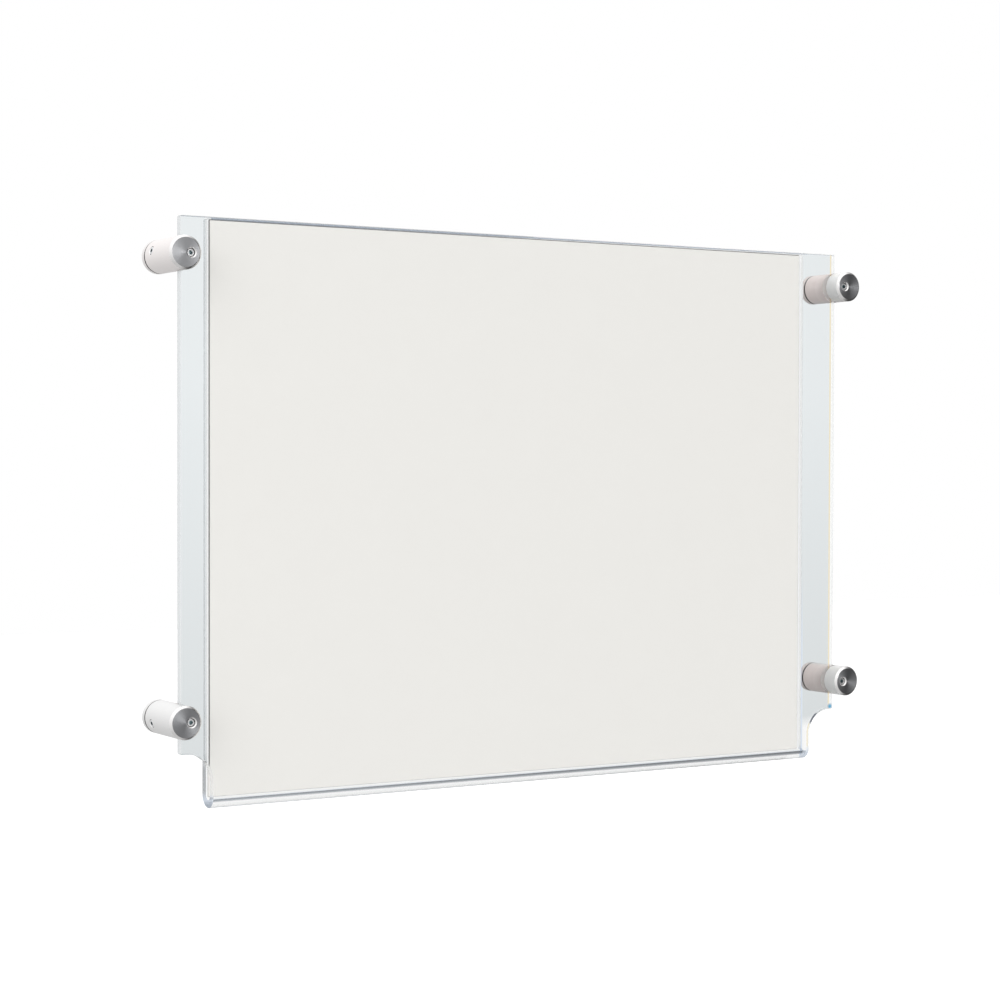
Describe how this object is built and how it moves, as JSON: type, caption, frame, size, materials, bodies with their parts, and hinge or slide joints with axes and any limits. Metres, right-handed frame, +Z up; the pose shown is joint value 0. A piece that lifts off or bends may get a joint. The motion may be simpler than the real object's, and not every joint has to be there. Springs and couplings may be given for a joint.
{
  "type": "acrylic standoff poster display",
  "caption": "Clear folded acrylic pocket that shows a top-loaded card, held off the wall at its side wings by slotted edge-grip aluminium standoffs.",
  "frame": {"origin": "on the wall plane, midway between the four standoff axes", "axes": "+X along the width, to the viewer's right; +Y into the wall; +Z up. The viewer stands on the -Y side."},
  "size_m": [0.324, 0.0268, 0.2203],
  "materials": {
    "clear_acrylic": "clear cast acrylic with polished edges",
    "blank_card": "matt off-white card",
    "satin_aluminium": "satin anodised, spun face",
    "base_aluminium": "satin anodised",
    "bright_steel": "bright set screw",
    "dark_steel": "dark set screw",
    "natural_nylon": "natural nylon"
  },
  "bodies": {
    "wall_bases": {"wall_base_top_left": "base_aluminium", "wall_base_top_right": "base_aluminium", "wall_base_bottom_left": "base_aluminium", "wall_base_bottom_right": "base_aluminium"},
    "barrels": {"barrel_top_left": "satin_aluminium", "barrel_top_right": "satin_aluminium", "barrel_bottom_left": "satin_aluminium", "barrel_bottom_right": "satin_aluminium"},
    "holder": {"acrylic_holder": "clear_acrylic"},
    "insert": {"poster_insert": "blank_card"},
    "grip_pad_top_left": {"grip_pad_top_left": "natural_nylon"},
    "grip_pad_top_right": {"grip_pad_top_right": "natural_nylon"},
    "grip_pad_bottom_left": {"grip_pad_bottom_left": "natural_nylon"},
    "grip_pad_bottom_right": {"grip_pad_bottom_right": "natural_nylon"},
    "grip_screw_top_left": {"grip_screw_top_left": "bright_steel"},
    "grip_screw_top_right": {"grip_screw_top_right": "bright_steel"},
    "grip_screw_bottom_left": {"grip_screw_bottom_left": "bright_steel"},
    "grip_screw_bottom_right": {"grip_screw_bottom_right": "bright_steel"},
    "lock_screw_top_left": {"lock_screw_top_left": "dark_steel"},
    "lock_screw_top_right": {"lock_screw_top_right": "dark_steel"},
    "lock_screw_bottom_left": {"lock_screw_bottom_left": "dark_steel"},
    "lock_screw_bottom_right": {"lock_screw_bottom_right": "dark_steel"}
  },
  "joints": [
    {"name": "display_pull_off", "type": "slide", "parent": "wall_bases", "child": "barrels", "axis": [0, -1, 0], "range_m": [0, 0.0105]},
    {"name": "holder_lift", "type": "slide", "parent": "barrels", "child": "holder", "axis": [0, 0, 1], "range_m": [0, 0.192]},
    {"name": "insert_slide", "type": "slide", "parent": "holder", "child": "insert", "axis": [0, 0, 1], "range_m": [0, 0.216]},
    {"name": "grip_pad_travel_top_left", "type": "slide", "parent": "barrels", "child": "grip_pad_top_left", "axis": [0, -1, 0], "range_m": [0, 0.001]},
    {"name": "grip_pad_travel_top_right", "type": "slide", "parent": "barrels", "child": "grip_pad_top_right", "axis": [0, -1, 0], "range_m": [0, 0.001]},
    {"name": "grip_pad_travel_bottom_left", "type": "slide", "parent": "barrels", "child": "grip_pad_bottom_left", "axis": [0, -1, 0], "range_m": [0, 0.001]},
    {"name": "grip_pad_travel_bottom_right", "type": "slide", "parent": "barrels", "child": "grip_pad_bottom_right", "axis": [0, -1, 0], "range_m": [0, 0.001]},
    {"name": "grip_screw_turn_top_left", "type": "hinge", "parent": "grip_pad_top_left", "child": "grip_screw_top_left", "pos_m": [-0.1535, -0.0231, 0.086], "axis": [0, -1, 0], "range_deg": [0, 720]},
    {"name": "grip_screw_turn_top_right", "type": "hinge", "parent": "grip_pad_top_right", "child": "grip_screw_top_right", "pos_m": [0.1535, -0.0231, 0.086], "axis": [0, -1, 0], "range_deg": [0, 720]},
    {"name": "grip_screw_turn_bottom_left", "type": "hinge", "parent": "grip_pad_bottom_left", "child": "grip_screw_bottom_left", "pos_m": [-0.1535, -0.0231, -0.086], "axis": [0, -1, 0], "range_deg": [0, 720]},
    {"name": "grip_screw_turn_bottom_right", "type": "hinge", "parent": "grip_pad_bottom_right", "child": "grip_screw_bottom_right", "pos_m": [0.1535, -0.0231, -0.086], "axis": [0, -1, 0], "range_deg": [0, 720]},
    {"name": "lock_screw_turn_top_left", "type": "hinge", "parent": "barrels", "child": "lock_screw_top_left", "pos_m": [-0.1557, -0.0086, 0.086], "axis": [-0.9659, 0, 0.2588], "range_deg": [0, 360]},
    {"name": "lock_screw_turn_top_right", "type": "hinge", "parent": "barrels", "child": "lock_screw_top_right", "pos_m": [0.1557, -0.0086, 0.086], "axis": [0.9659, 0, 0.2588], "range_deg": [0, 360]},
    {"name": "lock_screw_turn_bottom_left", "type": "hinge", "parent": "barrels", "child": "lock_screw_bottom_left", "pos_m": [-0.1557, -0.0086, -0.086], "axis": [-0.9659, 0, -0.2588], "range_deg": [0, 360]},
    {"name": "lock_screw_turn_bottom_right", "type": "hinge", "parent": "barrels", "child": "lock_screw_bottom_right", "pos_m": [0.1557, -0.0086, -0.086], "axis": [0.9659, 0, -0.2588], "range_deg": [0, 360]}
  ],
  "couplings": [
    {"joint": "grip_screw_turn_top_left", "follows": "grip_pad_travel_top_left", "rad_per_m": 12566},
    {"joint": "grip_screw_turn_top_right", "follows": "grip_pad_travel_top_right", "rad_per_m": 12566},
    {"joint": "grip_screw_turn_bottom_left", "follows": "grip_pad_travel_bottom_left", "rad_per_m": 12566},
    {"joint": "grip_screw_turn_bottom_right", "follows": "grip_pad_travel_bottom_right", "rad_per_m": 12566}
  ]
}
